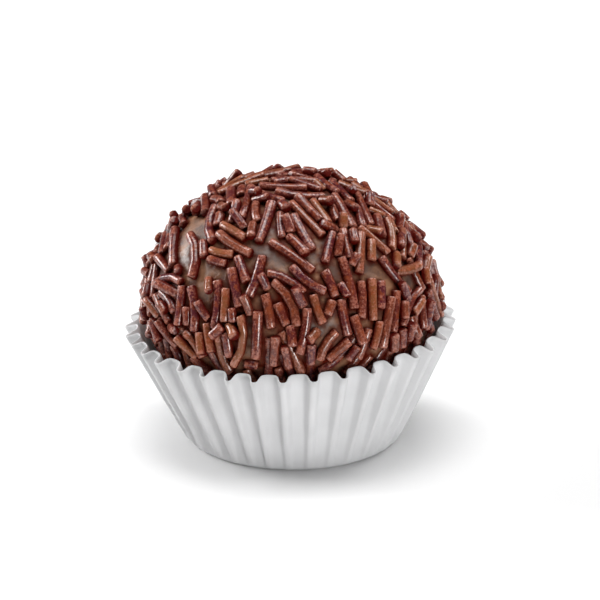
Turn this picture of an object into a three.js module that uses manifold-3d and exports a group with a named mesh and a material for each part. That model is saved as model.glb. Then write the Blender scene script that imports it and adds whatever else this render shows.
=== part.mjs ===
// A brigadeiro: a soft chocolate fudge ball rolled in chocolate sprinkles and set in a pleated paper case.
// Millimetres, +Z up. The origin is the centre of the case's flat base, on the table, and -Y is the front.
import * as THREE from "three";
import { mergeVertices } from "three/addons/utils/BufferGeometryUtils.js";
import Module from "manifold-3d";

const wasm = await Module();
wasm.setup();

// ---- Driving dimensions: paper case -------------------------------------------------------------
const BASE_RADIUS = 12.25; // flat round base of the case
const RIM_RADIUS = 17.95; // half-way between the ridges and the valleys of the pleats, at the rim
const WALL_LENGTH = 14.4; // of every pleat fold, from the base's edge up to the rim
const PLEATS = 36;
const PLEAT_DEPTH = 1.3; // from valley to ridge at the rim; the pleats run out to nothing at the base
const PLEAT_STEEPNESS = 4; // of the flanks between ridges and valleys
const PLEAT_NARROWNESS = 0.42; // above 0 the ridges are narrow and the valleys broad
const PLEAT_ROUNDNESS = 0.15; // how much of the depth is in a soft wave across ridge and valley
const PLEAT_RUN = 0.7; // below 1 the pleats stay deep for longer on their way down to the base
const PLEAT_TURN = THREE.MathUtils.degToRad(-2); // where the first ridge stands, from the front
const PLEAT_UNEVEN_TURN = THREE.MathUtils.degToRad(1.1); // how far a ridge stands from its even place
const PLEAT_UNEVEN_DEPTH = 0.16; // share by which pleats differ in depth
const RIM_TILT = 0.6; // the rim stands this much higher on the right, and lower on the left
const RIM_SHIFT = -0.3; // the rim's centre leans to the left of the base's
const PAPER = 0.2;
const CORNER = 0.55; // width of the rounded fold between base and wall
const FOOT = 0.057; // share of the wall that this fold takes
const LEAN_OF_WALL = Math.asin((RIM_RADIUS - BASE_RADIUS) / WALL_LENGTH);
const FOLDS = [0, 0.11, 0.24, 0.5, 0.76, 0.89]; // where the faces of a pleat meet, as shares of its width

// ---- Driving dimensions: fudge ball -------------------------------------------------------------
const BALL_CENTRE = new THREE.Vector3(-0.15, 0, 13.8);
const BALL_RADIUS = 16.5; // of the fudge, across; the sprinkles add to it
const BALL_HALF_HEIGHT = 15.55; // the soft ball has settled a little
const FLOOR_GAP = 0.15; // from the paper to the fudge's flat underside
const SAG_RADIUS = 15.6; // the part inside the case is a cone: its radius at SAG_TOP,
const SAG_TOP = 13.2;
const SAG_SLOPE = 0.405; // and how fast that grows with height
const BLEND = 50; // higher makes the edges between dome, cone and flat underside sharper
const LUMP = 0.12; // height of the hand-rolled unevenness
const LEAN = 0.35; // how much further the ball bulges at its upper left than at its upper right
const AROUND = 32; // faces round the ball
const DOME_RINGS = 10;
const DOME_END = THREE.MathUtils.degToRad(104); // angle from straight up where the dome meets the cone

// ---- Driving dimensions: sprinkles --------------------------------------------------------------
const ROD_RADIUS = 0.55;
const ROD_SPREAD = 0.1; // share by which the radius varies
const ROD_LENGTHS = [1.3, 6];
const ROD_LENGTH_SKEW = 1.4; // above 1 short rods outnumber long ones
const ROD_BEND = 0.21; // strongest curvature, in 1/mm
const ROD_END = 0.7; // the axis that rods are placed by stops this many radii short of each end
const ROD_SEAT = 0.28; // height of a rod's axis over the fudge that it is pressed into
const ROD_SEAT_SPREAD = 0.12;
const RODS = 430; // laid on the ball, the longest first
const ROUNDS = [
  { tries: 60, nudge: 0 }, // places anywhere on the ball, then places nearer and nearer to the best one
  { tries: 30, nudge: 1.6 },
  { tries: 24, nudge: 0.8 },
  { tries: 24, nudge: 0.4 },
];
const LOW_ENOUGH = 0.03; // a rod that is lifted less than this has found its place
const WAY_SPREAD = 1.15; // radians by which a rod may be swung from its neighbours' way
const CONTACT = 0.97; // share of their two radii that touching rods are apart
const TILT_COST = 0.25; // a rod rather lies a little higher than tilted
const STEEPEST = 0.2; // rise at each end, as a share of the rod's length
const MOST_LIFT = 0.95; // of a rod that lies across others
const DEEPEST = 0.75; // a rod is pressed in by the paper up to this many radii
const REACH = ROD_LENGTHS[1] + 1; // two rods further apart than this can't touch
const LOWEST_ROD = 11; // below this height the case hides the ball
const CASE_GAP = 0.15; // between a rod and the paper
const OVER_THE_RIM = 1.06; // from this share of the rim's height the paper no longer hems a rod in
const SEED = 20;
const MODELLED_RODS = 200; // the largest ones, and before all those on top of others, which are solids here
const ON_TOP = 0.4; // lift from which a rod counts as on top of others
const ROD_SIDES = 5;
const SAME_GIRTH = 1.12; // a prism this much wider has about the round rod's section
const LEAST_HOLD = 0.04; // mm3 that a rod shares with what carries it
const LEAST_BOW = 0.3; // a rod that bows less than this is made straight

// ---- Small helpers ------------------------------------------------------------------------------
function randomSource(seed) {
  let state = seed;
  return () => {
    state = (state * 1664525 + 1013904223) % 4294967296;
    return state / 4294967296;
  };
}

function solidOf(geometry) {
  geometry.deleteAttribute("normal");
  geometry.deleteAttribute("uv");
  const merged = mergeVertices(geometry, 1e-4);
  return new wasm.Manifold(
    new wasm.Mesh({
      numProp: 3,
      vertProperties: merged.attributes.position.array,
      triVerts: new Uint32Array(merged.index.array),
    }),
  );
}

function geometryOf(solid) {
  const mesh = solid.getMesh();
  const geometry = new THREE.BufferGeometry();
  geometry.setAttribute("position", new THREE.BufferAttribute(mesh.vertProperties, mesh.numProp));
  geometry.setIndex(new THREE.BufferAttribute(mesh.triVerts, 1));
  const faceted = geometry.toNonIndexed();
  faceted.computeVertexNormals();
  return faceted;
}

function indexedGeometry(points, triangles) {
  const geometry = new THREE.BufferGeometry().setFromPoints(points);
  geometry.setIndex(triangles);
  return geometry;
}

// ---- Paper case ---------------------------------------------------------------------------------
// How far the paper stands from valley (-1) to ridge (+1), at a share 0 to 1 of the way between two ridges.
function pleatForm(share) {
  const flank = (cosine) => Math.tanh(PLEAT_STEEPNESS * (cosine - PLEAT_NARROWNESS));
  const cosine = Math.cos(2 * Math.PI * share);
  const steep = THREE.MathUtils.mapLinear(flank(cosine), flank(-1), flank(1), -1, 1);
  return THREE.MathUtils.lerp(steep, cosine, PLEAT_ROUNDNESS);
}

// The steps round the case: the angle of each, and how far it stands from valley (-1) to ridge (+1).
function pleatSteps() {
  const random = randomSource(SEED);
  const pitch = (2 * Math.PI) / PLEATS;
  const pleats = Array.from({ length: PLEATS }, (_, k) => ({
    turn: PLEAT_TURN + k * pitch + PLEAT_UNEVEN_TURN * (2 * random() - 1),
    depth: 1 + PLEAT_UNEVEN_DEPTH * (2 * random() - 1),
  }));
  const steps = [];
  pleats.forEach((pleat, k) => {
    const next = pleats[(k + 1) % PLEATS];
    const nextTurn = next.turn + (k + 1 === PLEATS ? 2 * Math.PI : 0);
    for (const share of FOLDS) {
      steps.push({
        turn: THREE.MathUtils.lerp(pleat.turn, nextTurn, share),
        fold: pleatForm(share) * THREE.MathUtils.lerp(pleat.depth, next.depth, share),
      });
    }
  });
  return steps;
}

// Radius of the wall at a share 0 to 1 of the way up, where it stands from valley (-1) to ridge (+1).
function wallRadius(fold, share) {
  const middle = THREE.MathUtils.lerp(BASE_RADIUS, RIM_RADIUS, share);
  return middle + (PLEAT_DEPTH / 2) * fold * share ** PLEAT_RUN;
}

// How high the rim is there: the further out the paper leans, the lower.
function wallRise(fold) {
  return Math.sqrt(WALL_LENGTH ** 2 - (wallRadius(fold, 1) - BASE_RADIUS) ** 2);
}

// A point on the outside of the pleated wall, at a share 0 to 1 of the way from the base to the rim.
function wallPoint({ turn, fold }, share) {
  const radius = wallRadius(fold, share);
  return new THREE.Vector3(
    radius * Math.sin(turn) + RIM_SHIFT * share,
    -radius * Math.cos(turn),
    (wallRise(fold) + RIM_TILT * Math.sin(turn)) * share,
  );
}

function basePoint({ turn }, radius, height) {
  return new THREE.Vector3(radius * Math.sin(turn), -radius * Math.cos(turn), height);
}

// The rings of points that make one side of the paper, from the base out and up to the rim.
function outerRings(steps) {
  return [
    steps.map((step) => basePoint(step, BASE_RADIUS - CORNER, 0)),
    steps.map((step) => basePoint(step, BASE_RADIUS - CORNER * 0.2, CORNER * 0.22)),
    steps.map((step) => wallPoint(step, FOOT)),
    steps.map((step) => wallPoint(step, 1)),
  ];
}

// The same rings, one thickness of paper inwards.
function innerRings(rings) {
  const count = rings[0].length;
  return rings.map((ring, row) =>
    ring.map((point, i) => {
      if (row === 0) return point.clone().setZ(PAPER);
      const above = (rings[row + 1] ?? ring)[i];
      const up = above.clone().sub(rings[row - 1][i]);
      const along = ring[(i + 1) % count].clone().sub(ring[(i + count - 1) % count]);
      return point.clone().addScaledVector(up.cross(along).normalize(), PAPER);
    }),
  );
}

function caseGeometry() {
  const outer = outerRings(pleatSteps());
  const inner = innerRings(outer);
  const count = outer[0].length;
  const rings = [...outer, ...inner.reverse()];
  const points = [...rings.flat(), new THREE.Vector3(0, 0, 0), new THREE.Vector3(0, 0, PAPER)];
  const underside = points.length - 2;
  const inside = points.length - 1;
  const lastRing = (rings.length - 1) * count;
  const triangles = [];
  for (let i = 0; i < count; i++) {
    const j = (i + 1) % count;
    triangles.push(underside, j, i);
    triangles.push(inside, lastRing + i, lastRing + j);
    for (let row = 0; row + 1 < rings.length; row++) {
      const low = row * count;
      const high = low + count;
      triangles.push(low + i, low + j, high + j);
      triangles.push(low + i, high + j, high + i);
    }
  }
  return indexedGeometry(points, triangles);
}

// ---- Fudge ball ---------------------------------------------------------------------------------
function lumps(direction) {
  const { x, y, z } = direction;
  const waves =
    Math.sin(4.1 * x + 2.3 * z + 0.6) + Math.sin(5.2 * y - 3.1 * x + 1.9) + Math.sin(6.3 * z + 2.7 * y - 0.8);
  return (LUMP / 3) * waves - LEAN * x * z;
}

// Distance from the ball's centre to the fudge: the smallest of dome, cone and flat underside, blended.
function fudgeRadius(direction) {
  const across = Math.hypot(direction.x, direction.y);
  const down = -direction.z;
  const dome = Math.hypot(across / BALL_RADIUS, down / BALL_HALF_HEIGHT);
  const cone = (across + SAG_SLOPE * down) / (SAG_RADIUS + SAG_SLOPE * (BALL_CENTRE.z - SAG_TOP));
  const underside = down / (BALL_CENTRE.z - PAPER - FLOOR_GAP);
  const nearest = [dome, cone, underside].reduce((sum, inverse) => sum + Math.max(0, inverse) ** BLEND, 0);
  return nearest ** (-1 / BLEND) + lumps(direction) * THREE.MathUtils.clamp(4 * direction.z + 1, 0, 1);
}

function fudgePoint(direction) {
  return BALL_CENTRE.clone().addScaledVector(direction, fudgeRadius(direction));
}

// Angles from straight up at which the ball has a ring of vertices: evenly over the dome, then along the cone
// and round the blended edge of the underside.
function ringAngles() {
  const dome = Array.from({ length: DOME_RINGS }, (_, i) => (DOME_END * (i + 1)) / DOME_RINGS);
  const edge = Math.PI / 2 + Math.atan2(BALL_CENTRE.z - PAPER - FLOOR_GAP, SAG_RADIUS - SAG_SLOPE * SAG_TOP);
  return [...dome, (DOME_END + edge) / 2, edge - 0.05, edge + 0.01, edge + 0.08];
}

function fudgeGeometry() {
  const angles = [0, ...ringAngles(), Math.PI];
  const profile = angles.map((angle) => new THREE.Vector2(Math.sin(angle), Math.cos(angle)));
  profile[0].x = 0;
  profile[profile.length - 1].x = 0;
  const geometry = new THREE.LatheGeometry(profile.reverse(), AROUND).rotateX(Math.PI / 2);
  const position = geometry.attributes.position;
  for (let i = 0; i < position.count; i++) {
    const direction = new THREE.Vector3().fromBufferAttribute(position, i).normalize();
    position.setXYZ(i, ...fudgePoint(direction));
  }
  return geometry;
}

// ---- Sprinkles ----------------------------------------------------------------------------------
// Spots on the front where the coating is thin and fudge shows: the way to each from the centre, its width
// while the rods are laid, and how near its middle they have come off again.
const BARE_SPOTS = [
  { towards: new THREE.Vector3(-0.66, -0.33, 0.67), width: 3.1, cleared: 2.5 },
  { towards: new THREE.Vector3(-0.64, -0.59, 0.5), width: 3.1, cleared: 2.5 },
  { towards: new THREE.Vector3(-0.17, -0.7, 0.7), width: 3.2, cleared: 2.3 },
  { towards: new THREE.Vector3(0.24, -0.73, 0.63), width: 2.8, cleared: 2.1 },
  { towards: new THREE.Vector3(0.22, -0.93, 0.28), width: 2.8, cleared: 1.8 },
  { towards: new THREE.Vector3(0.56, -0.6, 0.57), width: 2.4, cleared: 1.7 },
];

// Rolling the ball lays neighbouring rods roughly one way: this is that way, as a smooth field over the ball.
function rollingWay(towards) {
  const { x, y, z } = towards;
  const way = new THREE.Vector3(
    0.6 - 0.8 * x + 0.35 * Math.sin(3 * y + 1),
    -0.9 + 0.6 * Math.sin(2.5 * x + 2 * z),
    -1,
  );
  return way.projectOnPlane(towards).normalize();
}

// How far a rod may stand out from this point of the fudge before it comes near the paper.
function roomInCase(point) {
  const valley = -1 - PLEAT_UNEVEN_DEPTH;
  const share = point.z / (wallRise(valley) + (RIM_TILT * point.x) / Math.hypot(point.x, point.y));
  if (share > OVER_THE_RIM) return Infinity;
  const wall = wallRadius(valley, share) - PAPER / Math.cos(LEAN_OF_WALL);
  return wall - Math.hypot(point.x - RIM_SHIFT * share, point.y) - CASE_GAP;
}

// The points of a rod's axis, still on the fudge. The axis stops short of the rod's ends, so that what is
// within the rod's radius of it has about the blunt rod's length.
const STATIONS = [-1, -0.5, 0, 0.5, 1];

function axisOnFudge({ towards, way, length, radius, bend }) {
  const side = towards.clone().cross(way);
  const middle = fudgePoint(towards);
  return STATIONS.map((share) => {
    const along = share * (length / 2 - ROD_END * radius);
    const sideways = (bend / 2) * (along * along - (length * length) / 12);
    return middle.clone().addScaledVector(way, along).addScaledVector(side, sideways);
  });
}

// The height over this point at which a rod's axis clears another rod: -Infinity where it passes beside it.
function heightOver(point, towards, radius, other) {
  const reach = CONTACT * (radius + other.radius);
  let height = -Infinity;
  for (const [from, to] of [[0, 2], [2, 4]]) {
    const start = other.axis[from].clone().sub(point);
    const step = other.axis[to].clone().sub(other.axis[from]);
    const startHeight = start.dot(towards);
    const stepHeight = step.dot(towards);
    start.addScaledVector(towards, -startHeight);
    step.addScaledVector(towards, -stepHeight);
    const share = THREE.MathUtils.clamp(-start.dot(step) / Math.max(step.lengthSq(), 1e-9), 0, 1);
    const aside = start.addScaledVector(step, share).lengthSq();
    if (aside < reach * reach)
      height = Math.max(height, startHeight + stepHeight * share + Math.sqrt(reach * reach - aside));
  }
  return height;
}

// The lowest straight line over the needed heights: its height in the middle and what it gains to the last.
function lowestLine(needs) {
  const cost = (line) => line.middle + TILT_COST * Math.abs(line.slope);
  let best = { middle: Math.max(...needs), slope: 0 };
  for (let i = 0; i < needs.length; i++) {
    for (let j = i + 1; j < needs.length; j++) {
      const slope = (needs[j] - needs[i]) / (STATIONS[j] - STATIONS[i]);
      const middle = needs[i] - slope * STATIONS[i];
      const clear = needs.every((need, k) => middle + slope * STATIONS[k] >= need - 1e-6);
      if (clear && cost({ middle, slope }) < cost(best) - 1e-6) best = { middle, slope };
    }
  }
  return best;
}

// Seats a rod in the fudge at its place, or rests it on the rods there. Returns null where it doesn't fit.
function seatRod(rod, placed) {
  const { towards, length, radius } = rod;
  const points = axisOnFudge(rod);
  if (points.some((point) => point.z < LOWEST_ROD)) return null;
  const feet = points.map((point) => fudgePoint(point.clone().sub(BALL_CENTRE).normalize()));
  const overs = points.map((point, i) => point.distanceTo(BALL_CENTRE) - feet[i].distanceTo(BALL_CENTRE));
  const rooms = feet.map((foot, i) => roomInCase(foot) - radius - overs[i]);
  const seat = Math.min(rod.seat, ...rooms);
  if (seat < -DEEPEST * radius) return null;
  const near = placed.filter((other) => other.towards.distanceTo(towards) * BALL_RADIUS < REACH);
  const needs = points.map((point, i) =>
    Math.max(seat - overs[i] / 2, ...near.map((other) => heightOver(point, towards, radius, other))),
  );
  const { middle, slope } = lowestLine(needs);
  const heights = STATIONS.map((share) => middle + slope * share);
  const lift = middle - seat;
  if (lift > MOST_LIFT || Math.abs(slope) > STEEPEST * length) return null;
  if (heights.some((height, i) => height > rooms[i] + 1e-6)) return null;
  const axis = points.map((point, i) => point.addScaledVector(towards, heights[i]));
  return { ...rod, axis, lift };
}

// Where a rod lies: the way from the ball's centre to it, and how far it is swung from the rolling way.
function randomPlace(random) {
  const up = THREE.MathUtils.lerp((LOWEST_ROD - BALL_CENTRE.z) / BALL_RADIUS, 1, random());
  const turn = 2 * Math.PI * random();
  const flat = Math.sqrt(1 - up * up);
  return {
    towards: new THREE.Vector3(flat * Math.cos(turn), flat * Math.sin(turn), up),
    swing: WAY_SPREAD * (random() + random() - 1),
  };
}

function nearbyPlace({ towards, swing }, nudge, random) {
  const step = new THREE.Vector3(random() - 0.5, random() - 0.5, random() - 0.5);
  return {
    towards: towards.clone().addScaledVector(step, nudge / BALL_RADIUS).normalize(),
    swing: swing + (nudge / 2) * (random() - 0.5),
  };
}

function isBare({ towards }, length) {
  return BARE_SPOTS.some((s) => s.towards.distanceTo(towards) * BALL_RADIUS < s.width / 2 + length / 6);
}

function cameOff({ towards }) {
  return BARE_SPOTS.some((s) => s.towards.distanceTo(towards) * BALL_RADIUS < s.cleared);
}

// Tries a rod in many places, then shuffles it about the best one to where it sinks lowest.
function settleRod(rod, placed, random) {
  let best = null;
  for (const { tries, nudge } of ROUNDS) {
    if (nudge ? !best || best.lift < LOW_ENOUGH : best) break;
    const places = Array.from({ length: tries }, () =>
      nudge ? nearbyPlace(best, nudge, random) : randomPlace(random),
    );
    const seated = places
      .filter((place) => !isBare(place, rod.length))
      .map(({ towards, swing }) => {
        const way = rollingWay(towards).applyAxisAngle(towards, swing);
        return seatRod({ ...rod, towards, swing, way }, placed);
      })
      .filter(Boolean);
    const low = seated.find(({ lift }) => lift < LOW_ENOUGH);
    best = low ?? seated.reduce((a, b) => (!a || b.lift < a.lift ? b : a), best);
  }
  return best;
}

function scatterRods() {
  const random = randomSource(SEED);
  const lengths = Array.from({ length: RODS }, () =>
    THREE.MathUtils.lerp(ROD_LENGTHS[0], ROD_LENGTHS[1], random() ** ROD_LENGTH_SKEW),
  ).sort((a, b) => b - a);
  const placed = [];
  for (const length of lengths) {
    const radius = ROD_RADIUS * (1 + ROD_SPREAD * (2 * random() - 1));
    const bow = 2 * random() - 1;
    const bend = ROD_BEND * bow * Math.abs(bow);
    const seat = ROD_SEAT + ROD_SEAT_SPREAD * (2 * random() - 1);
    const rod = settleRod({ length, radius, bend, seat }, placed, random);
    if (rod) placed.push(rod);
  }
  return placed.filter((rod) => !cameOff(rod));
}

// A rod as a closed prism along its axis: bent rods have a middle ring of points.
function rodGeometry({ axis, towards, radius, length, bend }) {
  const bent = (Math.abs(bend) * length * length) / 8 > LEAST_BOW;
  const end = (from, to) => to.clone().addScaledVector(to.clone().sub(from).normalize(), ROD_END * radius);
  const ends = [end(axis[1], axis[0]), end(axis[3], axis[4])];
  const line = bent ? [ends[0], axis[2], ends[1]] : ends;
  const girth = radius * SAME_GIRTH;
  const points = [];
  line.forEach((point, i) => {
    const along = line[Math.min(i + 1, line.length - 1)].clone().sub(line[Math.max(i - 1, 0)]).normalize();
    const side = along.clone().cross(towards).normalize();
    const up = side.clone().cross(along);
    for (let k = 0; k < ROD_SIDES; k++) {
      const angle = (2 * Math.PI * k) / ROD_SIDES;
      points.push(
        point
          .clone()
          .addScaledVector(side, girth * Math.cos(angle))
          .addScaledVector(up, girth * Math.sin(angle)),
      );
    }
  });
  const triangles = [];
  const last = (line.length - 1) * ROD_SIDES;
  for (let k = 0; k < ROD_SIDES; k++) {
    const next = (k + 1) % ROD_SIDES;
    for (let row = 0; row < last; row += ROD_SIDES) {
      triangles.push(row + k, row + ROD_SIDES + k, row + ROD_SIDES + next);
      triangles.push(row + k, row + ROD_SIDES + next, row + next);
    }
    if (k > 1) triangles.push(0, k - 1, k, last, last + k, last + k - 1);
  }
  return indexedGeometry(points, triangles);
}

// The fudge with the largest rods joined to it. A rod that is held by less than LEAST_HOLD is left out.
function ballSolid() {
  const size = (rod) => rod.length * rod.radius + (rod.lift > ON_TOP ? 1 : 0);
  const largest = scatterRods()
    .sort((a, b) => size(b) - size(a))
    .slice(0, MODELLED_RODS)
    .sort((a, b) => a.lift - b.lift);
  const joined = largest.reduce((solid, rod) => {
    const piece = solidOf(rodGeometry(rod));
    return solid.intersect(piece).volume() > LEAST_HOLD ? solid.add(piece) : solid;
  }, solidOf(fudgeGeometry()));
  return joined.decompose().reduce((a, b) => (b.volume() > a.volume() ? b : a));
}

// ---- The object ---------------------------------------------------------------------------------
function named(name, geometry, material) {
  const mesh = new THREE.Mesh(geometry, material);
  mesh.name = name;
  return mesh;
}

const chocolate = new THREE.MeshStandardMaterial({ color: 0x5c3028, roughness: 0.45, metalness: 0 });
const paper = new THREE.MeshStandardMaterial({ color: 0xf2f2f2, roughness: 0.85, metalness: 0 });

const brigadeiro = new THREE.Group();
brigadeiro.add(named("fudge_ball", geometryOf(ballSolid()), chocolate));
brigadeiro.add(named("paper_case", caseGeometry(), paper));

export default brigadeiro;
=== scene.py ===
# %% [markdown]
# # A brigadeiro
# A brigadeiro is a ball of soft chocolate fudge, cooked from milk, cocoa and butter, rolled in
# chocolate sprinkles and set in a small pleated paper case. This lesson builds its looks around a
# packed model that already has the right sizes. The packed model gives two solids: the sprinkled
# ball and the paper case. Both are plain and faceted, so finer pieces that keep their form take
# their place here.

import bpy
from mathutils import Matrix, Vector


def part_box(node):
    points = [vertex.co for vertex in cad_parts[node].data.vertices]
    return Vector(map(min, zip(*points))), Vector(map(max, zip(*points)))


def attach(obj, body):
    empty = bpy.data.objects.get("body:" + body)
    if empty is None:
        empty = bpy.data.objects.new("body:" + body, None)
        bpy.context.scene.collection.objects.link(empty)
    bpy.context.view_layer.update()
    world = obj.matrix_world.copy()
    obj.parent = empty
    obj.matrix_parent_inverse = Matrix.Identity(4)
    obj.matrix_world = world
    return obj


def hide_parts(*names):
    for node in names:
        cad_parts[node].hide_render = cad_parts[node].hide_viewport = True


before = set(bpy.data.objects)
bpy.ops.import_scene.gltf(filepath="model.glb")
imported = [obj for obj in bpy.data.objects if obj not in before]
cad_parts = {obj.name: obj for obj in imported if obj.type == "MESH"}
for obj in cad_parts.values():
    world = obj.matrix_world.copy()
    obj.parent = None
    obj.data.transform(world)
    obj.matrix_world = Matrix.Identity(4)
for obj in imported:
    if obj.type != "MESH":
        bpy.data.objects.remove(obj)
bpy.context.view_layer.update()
print("solids in the packed model:", ", ".join(sorted(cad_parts)))

# %% Modules and units
import math

import bmesh
import bpy
import numpy as np
from mathutils import Vector

MM = 0.001  # Blender's unit is the metre, and this sweet is measured in millimetres
scene = bpy.context.scene
scene.view_settings.view_transform = "Standard"
print("1 mm is", MM, "units, and colours are shown as", scene.view_settings.view_transform)

# %% [markdown]
# ## The camera
# A small thing is best seen from some way off through a long lens, so that it keeps its
# proportions. The camera stands in front of the sweet and a little above it, and looks at a point
# just over its middle.

# %% Set up the camera
CAMERA_ELEVATION = math.radians(20.77)
CAMERA_DISTANCE = 400 * MM
LENS = 213.54  # mm, on Blender's usual sensor, which is 36 mm wide
MIDDLE = Vector((0, 0, 14)) * MM  # the camera's and the lights' distances are measured from here
AIM_RIGHT, AIM_UP = 0.77 * MM, 1.52 * MM  # where the lens points, seen from the camera

camera = bpy.data.objects.new("camera", bpy.data.cameras.new("camera"))
scene.collection.objects.link(camera)
backwards = Vector((0, -math.cos(CAMERA_ELEVATION), math.sin(CAMERA_ELEVATION)))
upwards = Vector((0, math.sin(CAMERA_ELEVATION), math.cos(CAMERA_ELEVATION)))
camera.location = MIDDLE + backwards * CAMERA_DISTANCE
aim = MIDDLE + Vector((AIM_RIGHT, 0, 0)) + upwards * AIM_UP
camera.rotation_mode = "QUATERNION"
camera.rotation_quaternion = (aim - camera.location).to_track_quat("-Z", "Y")
camera.data.lens = LENS
scene.camera = camera
print("camera stands", round(camera.location.z / MM), "mm over the table")

# %% [markdown]
# ## Chance that repeats itself
# Sprinkles and pleats are uneven, but the lesson has to give the same sweet each time it runs. A
# small generator of even random numbers does that: it starts from a seed and each number follows
# from the last.

# %% A repeatable random source
SEED = 20
FACTOR, STEP, SPAN = 1664525, 1013904223, 2**32  # a usual set of numbers for such a generator


def random_source(seed):
    """Returns a function that gives even random numbers from 0 to 1, the same on every run."""
    state = seed

    def draw():
        nonlocal state
        state = (state * FACTOR + STEP) % SPAN
        return state / SPAN

    return draw


print("first draw:", round(random_source(SEED)(), 4))

# %% [markdown]
# ## The form of the fudge ball
# The ball was rolled by hand, so it is nearly round with soft lumps, and it has settled a little.
# The part inside the case is held by the pleats and is a cone with a flat underside. All of that
# can be said as one distance from the ball's centre for every direction: the smallest of a dome, a
# cone and a plane, blended. One such function is enough to shape the fudge and to seat the
# sprinkles on it.

# %% Sizes of the ball, in millimetres
BALL_CENTRE = np.array((-0.15, 0, 13.8))
BALL_RADIUS = 16.5
BALL_HALF_HEIGHT = 15.55
PAPER = 0.2  # thickness that the packed case has
FLOOR_GAP = 0.15  # between the fudge and the paper under it
SAG_TOP = 13.2  # a height near the upper end of the cone that the case holds
SAG_RADIUS = 15.6  # the cone's radius at that height
SAG_SLOPE = 0.405  # how much narrower the cone gets for each millimetre further down
BLEND = 50  # the higher, the tighter the curves between dome, cone and underside
ball_top = BALL_CENTRE[2] + BALL_HALF_HEIGHT
print("the dome is", 2 * BALL_RADIUS, "mm wide, and its top is at", round(ball_top, 2), "mm")

# %% The form of the ball
LUMP = 0.12  # height of the lumps, in mm
# Three waves make the lumps: how fast each runs along x, y and z, and how far it is shifted.
LUMP_WAVES = (((4.1, 0, 2.3), 0.6), ((-3.1, 5.2, 0), 1.9), ((0, 2.7, 6.3), -0.8))
LUMP_FADE = 4  # the lumps fade below the ball's middle, over a quarter of its radius
LEAN = 0.35  # how much further the ball bulges at its upper left than at its upper right, in mm


def wave(ways, speeds, shift):
    """A wave from -1 to 1 over the ball, for directions from its centre, one a row."""
    x, y, z = ways.T
    along_x, along_y, along_z = speeds
    return np.sin(along_x * x + along_y * y + along_z * z + shift)


def lumps(ways):
    """The hand-rolled unevenness for directions from the ball's centre, one a row."""
    waves = sum(wave(ways, speeds, shift) for speeds, shift in LUMP_WAVES)
    return LUMP / len(LUMP_WAVES) * waves - LEAN * ways[:, 0] * ways[:, 2]


def fudge_radius(ways):
    """Distance from the ball's centre to the fudge's surface, for directions one a row."""
    across = np.hypot(ways[:, 0], ways[:, 1])
    down = -ways[:, 2]
    dome = np.hypot(across / BALL_RADIUS, down / BALL_HALF_HEIGHT)
    cone = (across + SAG_SLOPE * down) / (SAG_RADIUS + SAG_SLOPE * (BALL_CENTRE[2] - SAG_TOP))
    underside = down / (BALL_CENTRE[2] - PAPER - FLOOR_GAP)
    nearest = sum(np.maximum(0, inverse) ** BLEND for inverse in (dome, cone, underside))
    return nearest ** (-1 / BLEND) + lumps(ways) * np.clip(LUMP_FADE * ways[:, 2] + 1, 0, 1)


def unit(vectors):
    """The same directions with length 1, for one vector or one a row."""
    return vectors / np.linalg.norm(vectors, axis=-1, keepdims=True)


front, crown = np.array([(0, -1.0, 0)]), np.array([(0, 0, 1.0)])
print("fudge stands out", round(float(fudge_radius(front)[0]), 2), "mm to the front")

# %% [markdown]
# ## The form of the paper case
# A case is pressed from a flat disc of paper. Its edge has to shrink as the wall rises, so the
# paper folds into pleats: narrow ridges outside and broad valleys between them, deepest at the rim
# and running out to nothing at the base. The valleys rise more steeply than the ridges, so the rim
# goes up and down. The wall's radius, as a function of the fold and the height, serves both the
# mesh and the room that sprinkles have.

# %% Sizes of the paper case, in millimetres
BASE_RADIUS = 12.25
RIM_RADIUS = 17.95
WALL_LENGTH = 14.4  # measured along the paper
LEAN_OF_WALL = math.asin((RIM_RADIUS - BASE_RADIUS) / WALL_LENGTH)
RIM_TILT = 0.6  # how much higher the rim is at the right, and lower at the left
RIM_SHIFT = -0.3  # how far the rim sits to the right of the base
print("pressed flat, the case is", 2 * (BASE_RADIUS + WALL_LENGTH), "mm across")

# %% The pleats
PLEATS = 36
PLEAT_STEEPNESS = 4  # how sharply the paper turns from valley to ridge
PLEAT_NARROWNESS = 0.42  # at 0 ridges would be as wide as valleys, and at 1 mere edges
PLEAT_ROUNDNESS = 0.15  # share of a plain wave that is left in the fold
PLEAT_TURN = math.radians(-2)  # where the first ridge stands, counted from the front
PLEAT_UNEVEN_TURN = math.radians(1.1)  # most that a ridge stands off its even place
PLEAT_UNEVEN_DEPTH = 0.16  # share by which a pleat may be deeper or less deep


def pleat_ridges():
    """Each ridge's angle and depth, with the small differences that folding leaves."""
    draw = random_source(SEED)
    pitch = 2 * math.pi / PLEATS
    ridges = []
    for k in range(PLEATS):
        turn = PLEAT_TURN + k * pitch + PLEAT_UNEVEN_TURN * (2 * draw() - 1)
        ridges.append((turn, 1 + PLEAT_UNEVEN_DEPTH * (2 * draw() - 1)))
    return ridges


def pleat_form(share):
    """How far the paper stands out, from valley (-1) to ridge (1), at a share of the pleat."""

    def bent(wave):
        return math.tanh(PLEAT_STEEPNESS * (wave - PLEAT_NARROWNESS))

    wave = math.cos(2 * math.pi * share)
    steep = 2 * (bent(wave) - bent(-1)) / (bent(1) - bent(-1)) - 1
    return steep + (wave - steep) * PLEAT_ROUNDNESS


outer = sum(pleat_form(percent / 100) > 0 for percent in range(100))
print("of each pleat's width the ridge takes", outer, "%, and the valley the rest")

# %% The wall
PLEAT_DEPTH = 1.3  # from valley to ridge at the rim, in mm
PLEAT_RUN = 0.7  # the power of the height that the depth grows with


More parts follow.
